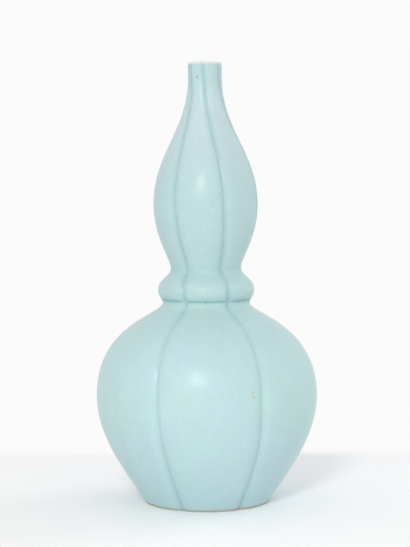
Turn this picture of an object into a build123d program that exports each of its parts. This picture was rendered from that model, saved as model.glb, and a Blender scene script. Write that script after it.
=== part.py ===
from build123d import *
import math
import os
from dataclasses import dataclass, replace

# Six-lobed double gourd vase, built from luted clay sections.
# Millimetres and degrees, +Z up, origin on the floor at the middle of the foot, front towards -Y.

# Rises: how far each level of the wall stands above the level below it
belly_rise = 77.5
crease_rise = 67.5
collar_rise = 9.5
waist_rise = 15.5
upper_belly_rise = 46.5
neck_rise = 92.5
mouth_rise = 10.35

# Radius over the crests of the lobes at each level
foot_radius = 45.7
belly_radius = 80.8
crease_radius = 32.2
collar_radius = 35.5
waist_radius = 26.0
upper_belly_radius = 38.0
neck_radius = 12.3

# Fullness: the share of a rise over which the wall is held upright, below and above each level
foot_fullness_above = 0.18
belly_fullness_below = 0.43
belly_fullness_above = 0.77
crease_fullness_below = 0.14
crease_fullness_above = 0.34
collar_fullness_below = 0.53
collar_fullness_above = 0.50
waist_fullness_below = 0.35
waist_fullness_above = 0.16
upper_belly_fullness_below = 0.52
upper_belly_fullness_above = 0.41
neck_fullness_below = 0.42
foot_flare = 30.0

# Lobes: how far round the narrower front lobe spans, the others sharing the rest evenly, depth of the
# grooves, rounding of the lobes into them and rounding of the groove bottoms
lobe_count = 6
foot_front_span = 55.5
belly_front_span = 55.0
crease_front_span = 58.0
collar_front_span = 56.5
waist_front_span = 60.0
upper_front_span = 58.5
neck_front_span = 54.0
mouth_front_span = 57.0
foot_groove_depth = 2.2
belly_groove_depth = 2.1
collar_groove_depth = 1.6
upper_groove_depth = 1.6
neck_groove_depth = 0.8
mouth_groove_depth = 0.5
foot_lobe_round = 12.0
belly_lobe_round = 15.0
collar_lobe_round = 9.0
upper_lobe_round = 11.0
neck_lobe_round = 6.0
foot_groove_round = 1.2
belly_groove_round = 1.5
collar_groove_round = 1.0
upper_groove_round = 1.2
neck_groove_round = 0.6

# Twist of the front lobe from straight ahead, positive to the right
foot_twist = 4.0
belly_twist = 1.5
crease_twist = 1.0
collar_twist = 0.0
waist_twist = -3.8
upper_belly_twist = -8.5
neck_twist = -32.5
mouth_twist = -37.0
neck_twist_lateness = 2.3

# Walls, measured level
foot_wall = 7.0
belly_wall = 5.2
waist_wall = 5.0
upper_belly_wall = 4.6
neck_wall = 3.8

# Foot and base
foot_edge_round = 1.3
foot_rim_width = 7.0
foot_rim_bevel = 1.0
foot_recess = 5.0
base_thickness = 4.6
base_ledge = 2.7

# Lip
lip_outer_round = 1.5
lip_inner_round = 1.0

# Luted joints: slip thickness, tongue of each rim, and where the two joints between levels lie
slip = 0.4
tongue_height = 1.2
tongue_share = 0.6
upper_seam_rise = 33.0
neck_seam_drop = 9.5

# Outlines in each section and along each rounded edge, how far cutting shapes run past the clay,
# and how closely a height is found on a curve
section_steps = 12
edge_steps = 4
overrun = 1.0
curve_tolerance = 1e-9


@dataclass
class Level:
    height: float
    radius: float
    below: float
    above: float
    groove_depth: float = 0.0
    lobe_round: float = 0.0
    groove_round: float = 0.0
    front_span: float = 0.0
    twist: float = 0.0
    lean: float = 0.0


foot_height = foot_recess + slip + base_thickness
foot_edge_top = foot_edge_round * (1 - math.sin(math.radians(foot_flare)))
belly_height = foot_edge_top + belly_rise
crease_height = belly_height + crease_rise
collar_height = crease_height + collar_rise
waist_height = collar_height + waist_rise
upper_belly_height = waist_height + upper_belly_rise
neck_height = upper_belly_height + neck_rise
total_height = neck_height + mouth_rise
lip_start = total_height - lip_outer_round

collar_lobe = (collar_groove_depth, collar_lobe_round, collar_groove_round)

outer_wall = [
    Level(foot_edge_top, foot_radius, 0, foot_fullness_above,
          foot_groove_depth, foot_lobe_round, foot_groove_round, foot_front_span, foot_twist, foot_flare),
    Level(belly_height, belly_radius, belly_fullness_below, belly_fullness_above,
          belly_groove_depth, belly_lobe_round, belly_groove_round, belly_front_span, belly_twist),
    Level(crease_height, crease_radius, crease_fullness_below, crease_fullness_above,
          *collar_lobe, crease_front_span, crease_twist),
    Level(collar_height, collar_radius, collar_fullness_below, collar_fullness_above,
          *collar_lobe, collar_front_span, collar_twist),
    Level(waist_height, waist_radius, waist_fullness_below, waist_fullness_above,
          *collar_lobe, waist_front_span, waist_twist),
    Level(upper_belly_height, upper_belly_radius, upper_belly_fullness_below, upper_belly_fullness_above,
          upper_groove_depth, upper_lobe_round, upper_groove_round, upper_front_span, upper_belly_twist),
    Level(neck_height, neck_radius, neck_fullness_below, 0,
          neck_groove_depth, neck_lobe_round, neck_groove_round, neck_front_span, neck_twist),
]


def span_points(low, high):
    # Control points of the wall between two levels: upright at each, leaning only where a level leans
    rise = high.height - low.height
    lift = low.above * rise
    return [
        (low.radius, low.height),
        (low.radius + lift * math.tan(math.radians(low.lean)), low.height + lift),
        (high.radius, high.height - high.below * rise),
        (high.radius, high.height),
    ]


def on_curve(points, t):
    # Radius and height at t on the cubic curve of four control points
    weights = ((1 - t) ** 3, 3 * t * (1 - t) ** 2, 3 * t * t * (1 - t), t ** 3)
    return tuple(sum(weight * point[axis] for weight, point in zip(weights, points)) for axis in (0, 1))


def blend(low, high, share):
    return low + (high - low) * share


def wall_at(wall, height):
    # Levels around a height, and the radius there, by halving the stretch of curve that holds it
    low, high = next(pair for pair in zip(wall, wall[1:]) if height <= pair[1].height)
    points = span_points(low, high)
    start, end = 0.0, 1.0
    while end - start > curve_tolerance:
        middle = (start + end) / 2
        if on_curve(points, middle)[1] < height:
            start = middle
        else:
            end = middle
    return low, high, on_curve(points, start)[0]


def wall_form(height):
    # Radius, lobe shape, front span and twist of the outer wall at a height, with its rounded foot edge and lip
    foot, neck = outer_wall[0], outer_wall[-1]
    if height < foot_edge_top:
        middle = foot.radius - foot_edge_round * math.cos(math.radians(foot_flare))
        reach = math.sqrt(foot_edge_round ** 2 - (foot_edge_round - height) ** 2)
        return middle + reach, foot.groove_depth, foot.lobe_round, foot.groove_round, foot.front_span, foot.twist
    if height > neck.height:
        rounding = max(height - lip_start, 0)
        inset = lip_outer_round - math.sqrt(lip_outer_round ** 2 - rounding ** 2)
        climb = (height - neck.height) / mouth_rise
        return (
            neck.radius - inset,
            blend(neck.groove_depth, mouth_groove_depth, climb),
            neck.lobe_round,
            neck.groove_round,
            blend(neck.front_span, mouth_front_span, climb),
            blend(neck.twist, mouth_twist, climb),
        )
    low, high, radius = wall_at(outer_wall, height)
    climb = (height - low.height) / (high.height - low.height)
    turned_by = climb ** neck_twist_lateness if high is neck else climb
    return (
        radius,
        blend(low.groove_depth, high.groove_depth, climb),
        blend(low.lobe_round, high.lobe_round, climb),
        blend(low.groove_round, high.groove_round, climb),
        blend(low.front_span, high.front_span, climb),
        blend(low.twist, high.twist, turned_by),
    )


def lobed_outline(height, radius, groove_depth, lobe_round, groove_round, front_span, twist):
    # Closed outline of arcs, each tangent to the next: a groove arc between two shoulder arcs, then a crest arc
    hub_reach = radius - lobe_round
    groove_reach = radius - groove_depth + groove_round
    centres_apart = lobe_round + groove_round
    squares = hub_reach ** 2 + groove_reach ** 2 - centres_apart ** 2
    shoulder = math.degrees(math.acos(squares / (2 * hub_reach * groove_reach)))

    def polar(reach, angle):
        return Vector(reach, 0, height).rotate(Axis.Z, angle)

    def mirrored(point):
        return Vector(point.X, -point.Y, point.Z)

    hub = polar(hub_reach, shoulder)
    to_groove = (polar(groove_reach, 0) - hub).normalized()
    to_crest = (polar(radius, shoulder) - hub).normalized()
    join = hub + to_groove * lobe_round
    bulge = hub + (to_groove + to_crest).normalized() * lobe_round
    groove = [
        ThreePointArc(polar(radius, -shoulder), mirrored(bulge), mirrored(join)),
        ThreePointArc(mirrored(join), polar(radius - groove_depth, 0), join),
        ThreePointArc(join, bulge, polar(radius, shoulder)),
    ]
    edges = []
    turn = twist - 90 - front_span / 2
    other_span = (360 - front_span) / (lobe_count - 1)
    for span in [front_span] + [other_span] * (lobe_count - 1):
        crest = [polar(radius, turn + angle) for angle in (shoulder, span / 2, span - shoulder)]
        edges += [edge.rotate(Axis.Z, turn) for edge in groove]
        edges.append(ThreePointArc(*crest))
        turn += span
    return Wire(edges)


def section_heights(bottom, top):
    # Heights of a section's outlines, crowding towards its two ends and along a rounded foot edge or lip
    first, last = max(bottom, foot_edge_top), min(top, lip_start)
    swings = [math.cos(math.pi * step / section_steps) for step in range(section_steps + 1)]
    heights = [first + (last - first) * (1 - swing) / 2 for swing in swings]
    quarter = [math.pi / 2 * step / edge_steps for step in range(edge_steps)]
    if bottom < foot_edge_top:
        heights = [foot_edge_top * (1 - math.cos(turn)) for turn in quarter] + heights
    if top > lip_start:
        heights += [total_height - lip_outer_round * (1 - math.cos(turn)) for turn in reversed(quarter)]
    return heights


def lobed_clay(heights):
    return Solid.make_loft([lobed_outline(height, *wall_form(height)) for height in heights])


def turned(*lines):
    # Solid of revolution about the axis of the vase, from lines given as radius and height
    return revolve(Plane.XZ * make_face(lines), Axis.Z)


def turned_outline(*points):
    return turned(Polyline(*points, close=True))


# Inside of the vessel: round, as thrown, with one straight throat through crease, collar and waist
floor_radius = wall_form(foot_height)[0] - foot_wall
throat_radius = waist_radius - waist_wall
bore_radius = neck_radius - neck_wall
inner_wall = [
    replace(outer_wall[0], height=foot_height, radius=floor_radius),
    replace(outer_wall[1], radius=belly_radius - belly_wall),
    replace(outer_wall[2], radius=throat_radius),
    replace(outer_wall[4], radius=throat_radius),
    replace(outer_wall[5], radius=upper_belly_radius - upper_belly_wall),
    replace(outer_wall[6], radius=bore_radius),
]


def vessel_hollow():
    below_floor = foot_height - overrun
    above_lip = total_height + overrun
    flare_start = (bore_radius, total_height - lip_inner_round)
    flare_end = (bore_radius + lip_inner_round, total_height)
    sides = [Bezier(*span_points(low, high)) for low, high in zip(inner_wall, inner_wall[1:])]
    return turned(
        Polyline((floor_radius, foot_height), (floor_radius, below_floor), (0, below_floor),
                 (0, above_lip), (flare_end[0], above_lip), flare_end),
        RadiusArc(flare_start, flare_end, lip_inner_round),
        Line(flare_start, (bore_radius, neck_height)),
        *sides)


def tongue(seam_height, lift=0.0):
    # V tongue around a rim, in the sound clay between the inside and the groove bottoms
    outer, groove_depth = wall_form(seam_height)[:2]
    inner = wall_at(inner_wall, seam_height)[2]
    middle = (inner + outer - groove_depth) / 2
    half_width = tongue_share * (outer - groove_depth - inner) / 2
    base = seam_height + lift
    tip = (middle, base + tongue_height)
    return turned_outline((middle - half_width, base), tip, (middle + half_width, base))


seams = {
    "foot_seam": foot_height,
    "belly_seam": belly_height,
    "collar_lower_seam": crease_height,
    "collar_upper_seam": waist_height,
    "upper_bulb_seam": upper_belly_height + upper_seam_rise,
    "neck_seam": neck_height - neck_seam_drop,
}
section_names = ["foot_ring", "lower_bulb_bowl", "lower_bulb_shoulder", "collar_ring",
                 "upper_bulb_bowl", "upper_bulb_shoulder", "neck_mouth"]
seam_heights = list(seams.values())
bottoms = [0.0] + [height + slip for height in seam_heights]
tops = seam_heights + [total_height]
hollow = vessel_hollow()

# Clay sections from the foot up, each with a tongue on its top rim and a matching channel under it
parts = {}
for name, bottom, top in zip(section_names, bottoms, tops):
    section = lobed_clay(section_heights(bottom, top))
    if bottom > 0:
        section -= hollow
        section -= tongue(bottom - slip, slip)
    if top < total_height:
        section += tongue(top)
    parts[name] = section

# Slip layer between each rim and the next, bent over the tongue
for name, height in seams.items():
    layer = lobed_clay([height, height + slip]) - hollow
    parts[name] = layer + tongue(height, slip) - tongue(height)

# Base: a disc let into a ledge inside the foot, bedded in slip below and around its rim
rim_radius = foot_radius - foot_rim_width
seat_radius = rim_radius + base_ledge
disc_radius = seat_radius - slip
disc_bottom = foot_recess + slip
parts["foot_ring"] -= turned_outline(
    (0, -overrun), (rim_radius + foot_rim_bevel + overrun, -overrun), (rim_radius, foot_rim_bevel),
    (rim_radius, foot_recess), (seat_radius, foot_recess),
    (seat_radius, foot_height + overrun), (0, foot_height + overrun))
parts["base_disc"] = turned_outline(
    (0, disc_bottom), (disc_radius, disc_bottom), (disc_radius, foot_height), (0, foot_height))
parts["base_seam"] = turned_outline(
    (rim_radius, foot_recess), (seat_radius, foot_recess), (seat_radius, foot_height),
    (disc_radius, foot_height), (disc_radius, disc_bottom), (rim_radius, disc_bottom))

os.makedirs("parts", exist_ok=True)
for name, part in parts.items():
    export_step(part, f"parts/{name}.step")
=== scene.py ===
import math

import bpy
import numpy as np
from mathutils import Matrix, Vector


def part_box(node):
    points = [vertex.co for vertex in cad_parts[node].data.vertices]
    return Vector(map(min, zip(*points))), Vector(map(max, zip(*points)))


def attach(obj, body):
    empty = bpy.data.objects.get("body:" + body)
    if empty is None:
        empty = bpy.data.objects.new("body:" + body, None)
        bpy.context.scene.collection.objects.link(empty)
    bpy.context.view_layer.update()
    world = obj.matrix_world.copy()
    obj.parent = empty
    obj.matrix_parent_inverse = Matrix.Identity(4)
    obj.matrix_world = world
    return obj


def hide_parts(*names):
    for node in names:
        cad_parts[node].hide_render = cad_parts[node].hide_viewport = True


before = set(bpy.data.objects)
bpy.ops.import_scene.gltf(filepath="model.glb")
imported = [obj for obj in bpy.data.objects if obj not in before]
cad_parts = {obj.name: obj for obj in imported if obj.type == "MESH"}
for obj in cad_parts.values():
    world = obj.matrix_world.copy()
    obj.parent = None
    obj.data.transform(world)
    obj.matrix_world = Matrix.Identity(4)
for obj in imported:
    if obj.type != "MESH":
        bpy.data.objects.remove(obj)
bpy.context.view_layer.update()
print("frame loaded, nodes:", len(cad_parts))


def underside(node):
    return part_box(node)[0].z


# The wall from the floor up, in metres and degrees. At each level the wall stands upright, but at the foot it leans.
# below and above are the shares of the climb to the next level over which the wall keeps that direction.
# frontSpan is how far round the front lobe reaches, the others sharing the rest evenly, and twist is where its
# middle is. pool is how strongly the glaze darkens in the grooves there.
vaseForm = {
    "foot": dict(height=0.00065, radius=0.0457, below=0.0, above=0.18, lean=30.0, frontSpan=55.5, twist=4.0,
                 groove=0.0022, lobeRound=0.0120, grooveRound=0.0012, pool=0.30),
    "belly": dict(height=underside("belly_seam"), radius=0.0808, below=0.43, above=0.77, lean=0.0, frontSpan=55.0,
                  twist=1.5, groove=0.0021, lobeRound=0.0150, grooveRound=0.0015, pool=0.10),
    "crease": dict(height=underside("collar_lower_seam"), radius=0.0322, below=0.14, above=0.34, lean=0.0,
                   frontSpan=58.0, twist=1.0, groove=0.0016, lobeRound=0.0090, grooveRound=0.0010, pool=0.30),
    "collar": dict(height=0.15515, radius=0.0355, below=0.53, above=0.50, lean=0.0, frontSpan=56.5, twist=0.0,
                   groove=0.0016, lobeRound=0.0090, grooveRound=0.0010, pool=0.35),
    "waist": dict(height=underside("collar_upper_seam"), radius=0.0260, below=0.35, above=0.16, lean=0.0,
                  frontSpan=60.0, twist=-3.8, groove=0.0016, lobeRound=0.0090, grooveRound=0.0010, pool=0.40),
    "upperBelly": dict(height=0.21715, radius=0.0380, below=0.52, above=0.41, lean=0.0, frontSpan=58.5, twist=-8.5,
                       groove=0.0016, lobeRound=0.0110, grooveRound=0.0012, pool=0.30),
    "neck": dict(height=0.30965, radius=0.0123, below=0.42, above=0.0, lean=0.0, frontSpan=54.0, twist=-32.5,
                 groove=0.0008, lobeRound=0.0060, grooveRound=0.0006, pool=0.48),
    "mouth": dict(height=0.320, radius=0.0123, below=0.0, above=0.0, lean=0.0, frontSpan=57.0, twist=-37.0,
                  groove=0.0005, lobeRound=0.0060, grooveRound=0.0006, pool=0.40),
}
lobeCount = 6
neckTwistLateness = 2.3                    # the grooves turn late on the way up to the neck
footEdgeRound = 0.0013
lipOuterRound = 0.0015
lipInnerRound = 0.0010

# Thickness of the wall, measured level
vaseWall = {"foot": 0.0070, "belly": 0.0052, "waist": 0.0050, "upperBelly": 0.0046, "neck": 0.0038}

# Grid of the pieces: columns to a lobe and how they crowd at the grooves, rows along the walls, the fewest of them and
# how they crowd at the ends, and points on each curve
gridRule = dict(columnsToLobe=96, grooveCrowding=1.6, outerStep=0.0008, innerStep=0.003, fewestRows=6,
                endCrowding=0.85, curvePoints=2000, edgePoints=40)


def levelValues(key):
    return np.array([level[key] for level in vaseForm.values()])


def spanCurve(low, high, start, end):
    # Cubic curve from start to end, each a radius and height: leaves along the low level's lean, arrives upright
    t = np.linspace(0, 1, gridRule["curvePoints"])[:, None]
    rise = end[1] - start[1]
    startPull = start + low["above"] * rise * np.array([math.tan(math.radians(low["lean"])), 1])
    endPull = end - high["below"] * rise * np.array([0, 1])
    return (1 - t) ** 3 * start + 3 * t * (1 - t) ** 2 * startPull + 3 * t * t * (1 - t) * endPull + t ** 3 * end


def wallCurve(keys, points):
    # Spans through the named levels, at the radius and height given for each
    return [spanCurve(vaseForm[low], vaseForm[high], np.array(start), np.array(end))
            for low, high, start, end in zip(keys, keys[1:], points, points[1:])]


def quarterCurve(startTurn, endTurn, centre, radius):
    # Arc of a rounded edge about its centre, in the plane of radius and height
    turn = np.linspace(startTurn, endTurn, gridRule["edgePoints"])
    return np.stack([centre[0] + radius * np.cos(turn), centre[1] + radius * np.sin(turn)], axis=1)


def makeOuterCurve():
    # Crest line of the lobes: rounded foot edge, six cubic spans, straight neck and rounded lip
    keys = ["foot", "belly", "crease", "collar", "waist", "upperBelly", "neck"]
    points = [(vaseForm[key]["radius"], vaseForm[key]["height"]) for key in keys]
    foot, mouth = vaseForm["foot"], vaseForm["mouth"]
    lean = math.radians(foot["lean"])
    edgeCentre = (foot["radius"] - footEdgeRound * math.cos(lean), footEdgeRound)
    edge = quarterCurve(-math.pi / 2, -lean, edgeCentre, footEdgeRound)
    lipCentre = (mouth["radius"] - lipOuterRound, mouth["height"] - lipOuterRound)
    lip = quarterCurve(0, math.pi / 2, lipCentre, lipOuterRound)
    return np.concatenate([edge, *wallCurve(keys, points), lip])


def makeInnerCurve():
    # Inside of the vessel: round, one straight throat from crease to waist, then the bore and its rounded lip
    keys = ["foot", "belly", "crease", "waist", "upperBelly", "neck"]
    floorHeight = underside("foot_seam")
    throat = vaseForm["waist"]["radius"] - vaseWall["waist"]
    bore = vaseForm["neck"]["radius"] - vaseWall["neck"]
    points = [
        (crestRadius(floorHeight) - vaseWall["foot"], floorHeight),
        (vaseForm["belly"]["radius"] - vaseWall["belly"], vaseForm["belly"]["height"]),
        (throat, vaseForm["crease"]["height"]),
        (throat, vaseForm["waist"]["height"]),
        (vaseForm["upperBelly"]["radius"] - vaseWall["upperBelly"], vaseForm["upperBelly"]["height"]),
        (bore, vaseForm["neck"]["height"]),
    ]
    lipCentre = (bore + lipInnerRound, vaseForm["mouth"]["height"] - lipInnerRound)
    lip = quarterCurve(math.pi, math.pi / 2, lipCentre, lipInnerRound)
    return np.concatenate([*wallCurve(keys, points), lip])


def makeTwistCurve():
    # Turn of the front lobe at each height: even between levels, late on the way to the neck
    climb = np.linspace(0, 1, gridRule["curvePoints"])
    heights, turns = levelValues("height"), levelValues("twist")
    neck = list(vaseForm).index("neck")
    lateHeights = heights[neck - 1] + (heights[neck] - heights[neck - 1]) * climb
    lateTurns = turns[neck - 1] + (turns[neck] - turns[neck - 1]) * climb ** neckTwistLateness
    return (np.concatenate([heights[:neck - 1], lateHeights, heights[neck + 1:]]),
            np.concatenate([turns[:neck - 1], lateTurns, turns[neck + 1:]]))


def crestRadius(height):
    return np.interp(height, outerCurve[:, 1], outerCurve[:, 0])


def innerRadius(height):
    return np.interp(height, innerCurve[:, 1], innerCurve[:, 0])


def levelBlend(key, height):
    return np.interp(height, levelValues("height"), levelValues(key))


def frontTurn(height):
    return np.radians(np.interp(height, *twistCurve))


outerCurve = makeOuterCurve()
innerCurve = makeInnerCurve()
twistCurve = makeTwistCurve()


def lobedRadius(crest, height, toGroove):
    # Lobe of tangent arcs by the angle to its nearer groove: a hollow arc about the groove's centre, a shoulder arc
    # about a hub one lobe rounding in from the crest, and the crest arc about the axis, each over its own angles
    lobeRound, grooveRound = levelBlend("lobeRound", height), levelBlend("grooveRound", height)
    hub = crest - lobeRound
    centre = crest - levelBlend("groove", height) + grooveRound
    shoulder = np.arccos((hub ** 2 + centre ** 2 - (lobeRound + grooveRound) ** 2) / (2 * hub * centre))
    share = lobeRound / (lobeRound + grooveRound)
    join = np.arctan2(hub * np.sin(shoulder) * (1 - share), hub * np.cos(shoulder) * (1 - share) + centre * share)
    swing = shoulder - toGroove
    bulge = hub * np.cos(swing) + np.sqrt(np.maximum(lobeRound ** 2 - (hub * np.sin(swing)) ** 2, 0))
    hollow = centre * np.cos(toGroove) - np.sqrt(np.maximum(grooveRound ** 2 - (centre * np.sin(toGroove)) ** 2, 0))
    return np.where(toGroove >= shoulder, crest, np.where(toGroove >= join, bulge, hollow))


def lobeColumns():
    # Lobe of each column, and its place from groove to groove of that lobe: minus one to one, crowding at both
    even = np.arange(gridRule["columnsToLobe"]) / gridRule["columnsToLobe"] * 2 - 1
    crowded = np.sign(even) * (1 - (1 - np.abs(even)) ** gridRule["grooveCrowding"])
    return np.repeat(np.arange(lobeCount), len(even)), np.tile(crowded, lobeCount)


columnLobe, columnShare = lobeColumns()


def halfSpans(height):
    # Half the span of the front lobe and of each other lobe at a height
    front = np.radians(levelBlend("frontSpan", height)) / 2
    return front, (math.pi - front) / (lobeCount - 1)


def columnToGroove(height):
    # Angle of each column to its nearer groove
    front, other = halfSpans(height)
    return np.where(columnLobe == 0, front, other) * (1 - np.abs(columnShare))


def columnTurn(height):
    # Angle of each column round from the middle of the front lobe
    front, other = halfSpans(height)
    return np.where(columnLobe == 0, front * columnShare, front + other * (2 * columnLobe - 1 + columnShare))


def rowsAlong(curve, low, high, step):
    # Points on a radius and height curve between two heights, even by length but crowding at both ends
    length = np.concatenate([[0], np.cumsum(np.hypot(*np.diff(curve, axis=0).T))])
    first, last = np.interp([low, high], curve[:, 1], length)
    t = np.linspace(0, 1, max(int((last - first) / step), gridRule["fewestRows"]))
    eased = t - gridRule["endCrowding"] * np.sin(2 * math.pi * t) / (2 * math.pi)
    at = first + (last - first) * eased
    return np.interp(at, length, curve[:, 0]), np.interp(at, length, curve[:, 1])


# Where the glaze pools: how far from the bottom of a groove, the line under the collar, which is partly pooled glaze
# in that corner and partly painted shade on the collar's underside, and the waist
poolRule = dict(grooveReach=0.0022, lineLift=0.0025, lineReach=0.0008, lineShare=0.85, waistReach=0.0035,
                waistShare=0.2)


def bell(away, reach):
    return np.exp(-(away / reach) ** 2)


def poolAndCreaseShade(crest, height):
    # The strongest of three bell curves of the distance along the wall: from the groove, from the line under the
    # collar, which breaks at the grooves and is painted shade as well as pooled glaze, and from the waist
    groove = bell(columnToGroove(height) * crest, poolRule["grooveReach"])
    line = bell(height - vaseForm["crease"]["height"] - poolRule["lineLift"], poolRule["lineReach"]) * (1 - groove)
    waist = bell(height - vaseForm["waist"]["height"], poolRule["waistReach"])
    return np.maximum.reduce([levelBlend("pool", height) * groove, poolRule["lineShare"] * line,
                              poolRule["waistShare"] * waist * np.ones_like(groove)])


# Luted joints: slip thickness, tongue on each rim, and the glaze skin that runs over the slip
jointRule = dict(slip=0.0004, tongueHeight=0.0012, tongueShare=0.6, skin=0.0004)


def tongueRows(seam, lift):
    # Tongue of a rim from outside to inside, in the sound clay between the groove bottoms and the inner wall
    outside = crestRadius(seam) - levelBlend("groove", seam)
    middle = (innerRadius(seam) + outside) / 2
    half = jointRule["tongueShare"] * (outside - innerRadius(seam)) / 2
    base = seam + lift
    return [(middle + half, base), (middle, base + jointRule["tongueHeight"]), (middle - half, base)]


def skinEdges(seam):
    # Middle height of the slip, and its outer and inner edge under the glaze skin
    height = seam + jointRule["slip"] / 2
    outside = lobedRadius(crestRadius(height), height, columnToGroove(height)) - jointRule["skin"]
    return height, outside, innerRadius(height) + jointRule["skin"]


def jointRows(seam, lift):
    # Joint face from outside to inside: in under the skin, level, over the tongue, level, out from under the skin
    middle, outside, inside = skinEdges(seam)
    base = seam + lift
    return [(outside, middle), (outside, base), *tongueRows(seam, lift), (inside, base), (inside, middle)]


def addPiece(name, rows, sharp, pool, node):
    # Closed band: each row is a ring round the axis, turned by the twist at its height, and the last joins the first
    columns = len(columnShare)
    radius = np.stack([np.broadcast_to(row[0], columns) for row in rows])
    height = np.repeat(np.array([row[1] for row in rows])[:, None], columns, axis=1)
    turn = frontTurn(height) - math.pi / 2 + columnTurn(height)
    points = np.stack([radius * np.cos(turn), radius * np.sin(turn), height], axis=-1)
    index = np.arange(radius.size, dtype=np.int32).reshape(radius.shape)
    beside = np.roll(index, -1, axis=1)
    quads = np.stack([index, beside, np.roll(beside, -1, axis=0), np.roll(index, -1, axis=0)], axis=-1)
    mesh = bpy.data.meshes.new(name)
    mesh.vertices.add(index.size)
    mesh.vertices.foreach_set("co", points.astype(np.float32).ravel())
    mesh.loops.add(quads.size)
    mesh.loops.foreach_set("vertex_index", quads.ravel())
    mesh.polygons.add(index.size)
    mesh.polygons.foreach_set("loop_start", np.arange(0, quads.size, 4, dtype=np.int32))
    mesh.update(calc_edges=True)
    mesh.shade_smooth()
    ends = np.zeros(len(mesh.edges) * 2, np.int32)
    mesh.edges.foreach_get("vertices", ends)
    endRows = ends.reshape(-1, 2) // columns
    along = endRows[:, 0] == endRows[:, 1]             # edges that run round a row
    sharpEdge = mesh.attributes.new("sharp_edge", "BOOLEAN", "EDGE")
    sharpEdge.data.foreach_set("value", along & np.array(sharp)[endRows[:, 0]])
    # Share of the pooled tone at each point: pooled glaze, and the painted shade line under the collar
    poolAndShadeLayer = mesh.attributes.new("poolAndCreaseShade", "FLOAT", "POINT")
    poolAndShadeLayer.data.foreach_set("value", pool.astype(np.float32).ravel())
    piece = bpy.data.objects.new(name, mesh)
    bpy.context.scene.collection.objects.link(piece)
    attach(piece, "root")
    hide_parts(node)
    print("piece made:", name, "faces:", len(mesh.polygons))
    return piece


# Under the foot: width of the bare rim, bevel inside it, and the ledge that carries the base
footUnder = dict(rimWidth=0.0070, bevel=0.0010, ledgeHeight=underside("base_seam"),
                 seatRadius=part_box("base_seam")[1].x)


def footRows(seam):
    # Inside of the foot from its tongue down: level to the seat, down to the ledge, in, down to the bevel and out
    rim = vaseForm["foot"]["radius"] - footUnder["rimWidth"]
    seat, ledge, bevel = footUnder["seatRadius"], footUnder["ledgeHeight"], footUnder["bevel"]
    return [(seat, seam), (seat, ledge), (rim, ledge), (rim, bevel), (rim + bevel, 0.0)]


def claySection(name, node, lowSeam, highSeam):
    # Closed shell: outer lobed wall up, joint face in, round inner wall down, joint face out
    skinLift = jointRule["slip"] / 2
    low = 0.0 if lowSeam is None else lowSeam + skinLift
    high = vaseForm["mouth"]["height"] if highSeam is None else highSeam + skinLift
    crest, outerHeight = rowsAlong(outerCurve, low, high, gridRule["outerStep"])
    outerRadius = lobedRadius(crest[:, None], outerHeight[:, None], columnToGroove(outerHeight[:, None]))
    rows = list(zip(outerRadius, outerHeight))
    sharp = [False] * len(rows)
    sharp[0] = lowSeam is not None
    sharp[-1] = highSeam is not None
    if highSeam is not None:
        joint = jointRows(highSeam, 0.0)
        joint = joint[:-2] + footRows(highSeam) if lowSeam is None else joint
        rows += joint
        sharp += [True] * len(joint)
    if lowSeam is not None:
        wallRadius, wallHeight = rowsAlong(innerCurve, low, high, gridRule["innerStep"])
        rows += list(zip(wallRadius[::-1], wallHeight[::-1]))
        sharp += [highSeam is not None] + [False] * (len(wallRadius) - 2) + [True]
        joint = jointRows(lowSeam, jointRule["slip"])[::-1]
        rows += joint
        sharp += [True] * len(joint)
    pool = np.zeros((len(rows), len(columnShare)))
    pool[:len(crest)] = poolAndCreaseShade(crest[:, None], outerHeight[:, None])
    return addPiece(name, rows, sharp, pool, node)


def slipRing(name, node):
    # Slip layer of one joint: up inside the outer skin, back over the tongue, down, and out under it
    seam = underside(node)
    outside, inside = skinEdges(seam)[1:]
    top = seam + jointRule["slip"]
    rows = [(outside, seam), (outside, top), *tongueRows(seam, jointRule["slip"]), (inside, top), (inside, seam),
            *tongueRows(seam, 0.0)[::-1]]
    return addPiece(name, rows, [True] * len(rows), np.zeros((len(rows), len(columnShare))), node)


seams = {"footSlip": "foot_seam", "bellySlip": "belly_seam", "collarLowerSlip": "collar_lower_seam",
         "collarUpperSlip": "collar_upper_seam", "upperBulbSlip": "upper_bulb_seam", "neckSlip": "neck_seam"}
sections = {"footRing": "foot_ring", "lowerBulbBowl": "lower_bulb_bowl", "lowerBulbShoulder": "lower_bulb_shoulder",
            "collarRing": "collar_ring", "upperBulbBowl": "upper_bulb_bowl",
            "upperBulbShoulder": "upper_bulb_shoulder", "neckMouth": "neck_mouth"}
seamHeights = [underside(node) for node in seams.values()]
clayPieces = [claySection(name, node, low, high) for (name, node), low, high
              in zip(sections.items(), [None] + seamHeights, seamHeights + [None])]
slipPieces = [slipRing(name, node) for name, node in seams.items()]


class Wire:                                # a socket of a node tree; sums on wires become Math nodes
    def __init__(self, tree, socket=None):
        self.tree, self.socket = tree, socket

    def node(self, kind, settings=None, sockets=None, output=None):
        made = self.tree.nodes.new(kind)
        for key, value in (settings or {}).items():
            setattr(made, key, value)
        for key, value in (sockets or {}).items():
            socket = made.inputs[key] if isinstance(key, int) else next(
                each for each in made.inputs if each.name == key and each.enabled)
            if isinstance(value, Wire):
                self.tree.links.new(value.socket, socket)
            else:
                socket.default_value = value
        shown = [each for each in made.outputs if each.enabled and output in (None, each.name)]
        return Wire(self.tree, shown[0]) if shown else None

    def maths(self, operation, first, second):
        return self.node("ShaderNodeMath", {"operation": operation}, {0: first, 1: second})

    def __add__(self, other):
        return self.maths("ADD", self, other)

    def __radd__(self, other):
        return self.maths("ADD", other, self)

    def __sub__(self, other):
        return self.maths("SUBTRACT", self, other)

    def __rsub__(self, other):
        return self.maths("SUBTRACT", other, self)

    def __mul__(self, other):
        return self.maths("MULTIPLY", self, other)

    def __rmul__(self, other):
        return self.maths("MULTIPLY", other, self)


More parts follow.
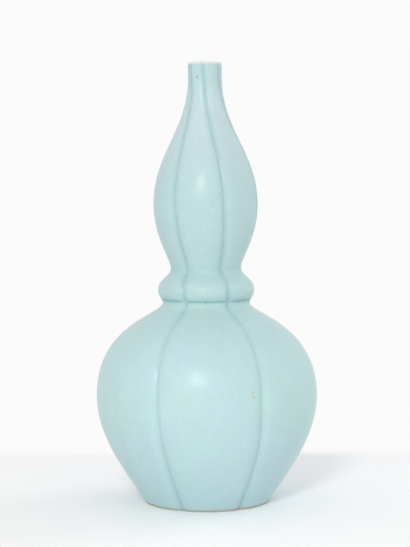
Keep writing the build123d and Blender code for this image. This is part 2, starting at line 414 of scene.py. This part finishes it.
def paint(red, green, blue):
    # Screen colour from 0 to 255 as the linear colour that a shader takes
    share = np.array([red, green, blue]) / 255
    linear = np.where(share <= 0.04045, share / 12.92, ((share + 0.055) / 1.055) ** 2.4)
    return (*[float(part) for part in linear], 1.0)


def newMaterial(name):
    material = bpy.data.materials.new(name)
    material.use_nodes = True
    material.node_tree.nodes.clear()
    return material, Wire(material.node_tree)


def cloud(wire, place, scale, detail):
    # Soft noise about zero, from about minus a half to a half
    settings = {"noise_dimensions": "3D"}
    return wire.node("ShaderNodeTexNoise", settings, {"Vector": place, "Scale": scale, "Detail": detail}) - 0.5


def fade(wire, value, low, high):
    # Smooth step from nought at low to one at high
    return wire.node("ShaderNodeMapRange", {"interpolation_type": "SMOOTHSTEP"},
                     {"Value": value, "From Min": low, "From Max": high, "To Min": 0.0, "To Max": 1.0})


def layer(wire, share, under, over):
    # One colour laid over another by a share
    return wire.node("ShaderNodeMix", {"data_type": "RGBA"}, {"Factor": share, "A": under, "B": over})


def shade(wire, colour, level):
    return wire.node("ShaderNodeVectorMath", {"operation": "SCALE"}, {0: colour, "Scale": level})


# Celadon glaze: the two tones that cloud the lower bulb, the deeper tone of the upper one, which is partly a greyer
# glaze and partly painted shade, the paler tone of the neck, partly paler glaze and partly a painted highlight, the
# pooled tone, which also lays the painted shade line under the collar, the thin tone on the lip, and the bare clay of
# the foot rim
glazeLook = dict(green=paint(184, 216, 213), blue=paint(183, 212, 217), upperGlazeAndShade=paint(177, 205, 206),
                 neck=paint(190, 210, 214), pool=paint(132, 178, 182), thin=paint(229, 227, 223),
                 clay=paint(186, 187, 176), roughness=0.31, roughSpread=0.1, shine=0.19, bump=0.05, bumpDepth=0.001,
                 bumpFine=0.3)

# Clouds in the glaze, broad to fine: scale to the metre and detail of each, then how strongly it shades the colour
glazeClouds = dict(broad=(18.0, 2.0), patch=(55.0, 2.0), mottle=(90.0, 3.0), grit=(320.0, 2.0), fine=(700.0, 2.0))
cloudShade = dict(broad=0.06, mottle=0.06, grit=0.09, fine=0.07)

# Where the tones lie: weight of the clouds and of the part below the belly, spread between the two lower tones,
# strength of the upper bulb's tone, which is partly painted shade, and of the neck's, which is partly a painted
# highlight, and how far below the neck the latter is full and starts to thin
toneRule = dict(cloudShare=0.6, lowerShare=0.15, spread=0.2, upperGlazeAndShadeShare=0.8, paleNeckAndHighlightShare=0.8, neckFull=0.03,
                neckThins=0.02, neckLoss=0.8)

# Edges of the glaze: thin lip by its depth below the top, and the bare rim by its height, wander and softness
edgeLook = dict(lipStart=0.0022, lipFull=0.0006, lipShare=0.8, clayLine=0.0018, clayWander=0.0012, claySoft=0.0002,
                clayRoughness=0.45)

# Small marks in the glaze: turn from the front to the right, height, half width and half height, colour and strength
glazeMarks = {
    "neckSpeck": dict(turn=-27.7, height=0.3088, across=0.0011, tall=0.0017, colour=paint(150, 160, 156), share=0.70),
    "bellyHalo": dict(turn=23.0, height=0.0868, across=0.0034, tall=0.0042, colour=paint(192, 210, 190), share=0.45),
    "bellyFleck": dict(turn=23.7, height=0.0855, across=0.0014, tall=0.0014, colour=paint(150, 166, 146), share=0.50),
    "bellyDot": dict(turn=23.1, height=0.0888, across=0.0011, tall=0.0011, colour=paint(150, 166, 146), share=0.35),
    "creasePinhole": dict(turn=-0.2, height=0.1479, across=0.0009, tall=0.0009, colour=paint(96, 122, 120),
                          share=0.80),
}
markDepth = 0.006                          # how deep into the wall a mark reaches
spotCore = 0.2                             # share of a mark or speck that is at full strength

# Faint specks all over: how many to the metre, the size of one as a share of their spacing, and their strength
speckLook = dict(scale=100.0, size=0.09, colour=paint(138, 160, 158), share=0.28)


def markShare(wire, place, mark):
    # One at the middle of a mark, falling to nought at its edge
    turn, radius = math.radians(mark["turn"]), crestRadius(mark["height"])
    middle = (radius * math.sin(turn), -radius * math.cos(turn), mark["height"])
    away = wire.node("ShaderNodeVectorMath", {"operation": "SUBTRACT"}, {0: place, 1: middle})
    away = wire.node("ShaderNodeVectorMath", {"operation": "DIVIDE"},
                     {0: away, 1: (mark["across"], markDepth, mark["tall"])})
    length = wire.node("ShaderNodeVectorMath", {"operation": "LENGTH"}, {0: away}, "Value")
    return mark["share"] * (1 - fade(wire, length, spotCore, 1.0))


def makeGlaze():
    material, wire = newMaterial("celadonGlaze")
    place = wire.node("ShaderNodeTexCoord", output="Object")
    height = wire.node("ShaderNodeSeparateXYZ", sockets={0: place}, output="Z")
    broad, patch, mottle, grit, fine = [cloud(wire, place, *look) for look in glazeClouds.values()]
    belly, upperBelly = vaseForm["belly"]["height"], vaseForm["upperBelly"]["height"]
    neckBase, top = vaseForm["neck"]["height"], vaseForm["mouth"]["height"]
    lower = 1 - fade(wire, height, vaseForm["foot"]["height"], belly)
    # Upper bulb's deeper tone: partly its greyer glaze, partly painted shade where less light falls
    upperGlazeAndShade = fade(wire, height, belly, upperBelly)
    # Neck's paler tone on the taper below the neck: partly paler glaze, partly a painted highlight on its lobes
    neck = fade(wire, height, upperBelly, neckBase - toneRule["neckFull"])
    neck = neck * (1 - toneRule["neckLoss"] * fade(wire, height, neckBase - toneRule["neckThins"], neckBase))
    drift = broad * toneRule["cloudShare"] + patch * toneRule["cloudShare"] + lower * toneRule["lowerShare"]
    tone = fade(wire, drift, -toneRule["spread"], toneRule["spread"])
    colour = layer(wire, tone, glazeLook["green"], glazeLook["blue"])
    colour = layer(wire, upperGlazeAndShade * toneRule["upperGlazeAndShadeShare"], colour, glazeLook["upperGlazeAndShade"])
    colour = layer(wire, neck * toneRule["paleNeckAndHighlightShare"], colour, glazeLook["neck"])
    level = 1 + broad * cloudShade["broad"] + mottle * cloudShade["mottle"]
    level = level + grit * cloudShade["grit"] + fine * cloudShade["fine"]
    colour = shade(wire, colour, level)
    spacing = wire.node("ShaderNodeTexVoronoi", None, {"Vector": place, "Scale": speckLook["scale"]}, "Distance")
    specks = speckLook["share"] * (1 - fade(wire, spacing, spotCore * speckLook["size"], speckLook["size"]))
    colour = layer(wire, specks, colour, speckLook["colour"])
    # Pooled glaze in the grooves and at the waist, and the painted shade line under the collar, in the pooled tone
    pool = wire.node("ShaderNodeAttribute", {"attribute_name": "poolAndCreaseShade"}, output="Fac")
    colour = layer(wire, pool, colour, glazeLook["pool"])
    lip = fade(wire, height, top - edgeLook["lipStart"], top - edgeLook["lipFull"])
    colour = layer(wire, lip * edgeLook["lipShare"], colour, glazeLook["thin"])
    for mark in glazeMarks.values():
        colour = layer(wire, markShare(wire, place, mark), colour, mark["colour"])
    clayEdge, soft = height - mottle * edgeLook["clayWander"], edgeLook["claySoft"]
    bare = 1 - fade(wire, clayEdge, edgeLook["clayLine"] - soft, edgeLook["clayLine"] + soft)
    colour = layer(wire, bare, colour, glazeLook["clay"])
    roughness = glazeLook["roughness"] + mottle * glazeLook["roughSpread"] + bare * edgeLook["clayRoughness"]
    grain = wire.node("ShaderNodeBump", None, {"Strength": glazeLook["bump"], "Distance": glazeLook["bumpDepth"],
                                              "Height": mottle + fine * glazeLook["bumpFine"]})
    surface = wire.node("ShaderNodeBsdfPrincipled", None, {"Base Color": colour, "Roughness": roughness,
                                                          "Specular IOR Level": glazeLook["shine"], "Normal": grain})
    wire.node("ShaderNodeOutputMaterial", None, {"Surface": surface})
    return material


# Slip: two clay tones, scale and detail of the grain between them, and how far it spreads
slipLook = dict(dark=paint(186, 164, 138), light=paint(206, 188, 162), roughness=0.85, grain=(900.0, 3.0), spread=0.3)


def makeSlip():
    material, wire = newMaterial("lutingSlip")
    place = wire.node("ShaderNodeTexCoord", output="Object")
    grain = fade(wire, cloud(wire, place, *slipLook["grain"]), -slipLook["spread"], slipLook["spread"])
    colour = layer(wire, grain, slipLook["dark"], slipLook["light"])
    surface = wire.node("ShaderNodeBsdfPrincipled", None, {"Base Color": colour, "Roughness": slipLook["roughness"]})
    wire.node("ShaderNodeOutputMaterial", None, {"Surface": surface})
    return material


celadonGlaze, lutingSlip = makeGlaze(), makeSlip()
for piece in clayPieces:
    piece.data.materials.append(celadonGlaze)
for piece in slipPieces:
    piece.data.materials.append(lutingSlip)
for node, material in {"base_disc": celadonGlaze, "base_seam": lutingSlip}.items():
    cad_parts[node].data.materials.clear()
    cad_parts[node].data.materials.append(material)
print("glaze and slip laid on")


# Studio: pale floor, white surround that is brighter overhead, a soft lamp ahead, high and a little to the left, and
# one behind at each side, which gives no highlight. The floor turns white between the two distances given by back,
# behind the vase, and by round, on every side.
floorLook = dict(half=6.0, back=(0.175, 0.22), round=(0.45, 1.3), colour=paint(254, 254, 255), roughness=0.6)
surroundLook = dict(colour=(0.96, 0.96, 0.965, 1.0), level=0.46, overhead=0.33, seen=1.0)
studioLamps = {
    "frontLamp": dict(turn=-10.0, elevation=24.0, distance=1.8, size=0.35, power=14.0, colour=(1.0, 0.97, 0.94),
                      shine=True),
    "leftLamp": dict(turn=-120.0, elevation=18.0, distance=1.8, size=1.2, power=2.0, colour=(0.96, 0.98, 1.0),
                     shine=False),
    "rightLamp": dict(turn=120.0, elevation=18.0, distance=1.8, size=1.2, power=8.5, colour=(0.96, 0.98, 1.0),
                      shine=False),
}


def shownRays(wire):
    # One for a ray that shows the background, straight or in a reflection, and nought for one that only lights
    seen = [wire.node("ShaderNodeLightPath", output=ray)
            for ray in ("Is Camera Ray", "Is Glossy Ray", "Is Transmission Ray")]
    return wire.maths("MINIMUM", seen[0] + seen[1] + seen[2], 1.0)


def addFloor():
    # Paper sheet that shows as the white surround from a little behind the vase, and further off all round
    half = floorLook["half"]
    mesh = bpy.data.meshes.new("floor")
    mesh.from_pydata([(-half, -half, 0), (half, -half, 0), (half, half, 0), (-half, half, 0)], [], [(0, 1, 2, 3)])
    floor = bpy.data.objects.new("floor", mesh)
    bpy.context.scene.collection.objects.link(floor)
    material, wire = newMaterial("floorPaper")
    place = wire.node("ShaderNodeTexCoord", output="Object")
    away = wire.node("ShaderNodeVectorMath", {"operation": "LENGTH"}, {0: place}, "Value")
    behind = wire.node("ShaderNodeSeparateXYZ", sockets={0: place}, output="Y")
    white = wire.maths("MAXIMUM", fade(wire, away, *floorLook["round"]), fade(wire, behind, *floorLook["back"]))
    paper = wire.node("ShaderNodeBsdfPrincipled", None, {"Base Color": floorLook["colour"],
                                                        "Roughness": floorLook["roughness"]})
    glow = wire.node("ShaderNodeEmission", None, {"Color": surroundLook["colour"], "Strength": surroundLook["seen"]})
    surface = wire.node("ShaderNodeMixShader", None, {0: shownRays(wire) * white, 1: paper, 2: glow})
    wire.node("ShaderNodeOutputMaterial", None, {"Surface": surface})
    mesh.materials.append(material)


def addSurround():
    world = bpy.data.worlds.new("surround")
    bpy.context.scene.world = world
    world.use_nodes = True
    world.node_tree.nodes.clear()
    wire = Wire(world.node_tree)
    towards = wire.node("ShaderNodeTexCoord", output="Generated")
    upward = wire.maths("MAXIMUM", wire.node("ShaderNodeSeparateXYZ", sockets={0: towards}, output="Z"), 0.0)
    level = surroundLook["level"] + upward * surroundLook["overhead"]
    level = level + shownRays(wire) * (surroundLook["seen"] - level)
    light = wire.node("ShaderNodeBackground", None, {"Color": surroundLook["colour"], "Strength": level})
    wire.node("ShaderNodeOutputWorld", None, {"Surface": light})


def directionFrom(turn, elevation):
    # Unit vector from the vase towards a place, by its turn from the front to the right and its elevation
    turn, elevation = math.radians(turn), math.radians(elevation)
    return Vector((math.sin(turn) * math.cos(elevation), -math.cos(turn) * math.cos(elevation), math.sin(elevation)))


def addLamp(name, look):
    # Disc lamp that faces the middle of the vase
    data = bpy.data.lights.new(name, "AREA")
    data.shape, data.size = "DISK", look["size"]
    data.energy, data.color = look["power"], look["colour"]
    lamp = bpy.data.objects.new(name, data)
    bpy.context.scene.collection.objects.link(lamp)
    towards = directionFrom(look["turn"], look["elevation"])
    lamp.location = Vector((0, 0, photoCamera["lookHeight"])) + towards * look["distance"]
    lamp.rotation_euler = towards.to_track_quat("Z", "Y").to_euler()
    lamp.visible_camera, lamp.visible_glossy = False, look["shine"]


# Camera, fitted to the photograph: how far off, how high, its small step aside and roll, and its focal length in
# pixels of the frame's height
photoCamera = dict(distance=1.14, lookHeight=0.1667, sideStep=-0.00075, elevation=3.16, roll=-0.32,
                   focalPixels=1560.0, frameHeight=547, sensor=36.0)


def addCamera():
    data = bpy.data.cameras.new("photoCamera")
    data.sensor_width = photoCamera["sensor"]          # the long side, which is the frame's height
    data.lens = photoCamera["sensor"] * photoCamera["focalPixels"] / photoCamera["frameHeight"]
    camera = bpy.data.objects.new("photoCamera", data)
    bpy.context.scene.collection.objects.link(camera)
    target = Vector((photoCamera["sideStep"], 0, photoCamera["lookHeight"]))
    place = target + directionFrom(0, photoCamera["elevation"]) * photoCamera["distance"]
    tilt = Matrix.Rotation(math.radians(90 - photoCamera["elevation"]), 4, "X")
    roll = Matrix.Rotation(math.radians(photoCamera["roll"]), 4, "Z")
    camera.matrix_world = Matrix.Translation(place) @ tilt @ roll
    bpy.context.scene.camera = camera


addFloor()
addSurround()
for name, look in studioLamps.items():
    addLamp(name, look)
addCamera()
bpy.context.scene.view_settings.view_transform = "Standard"
print("studio set")
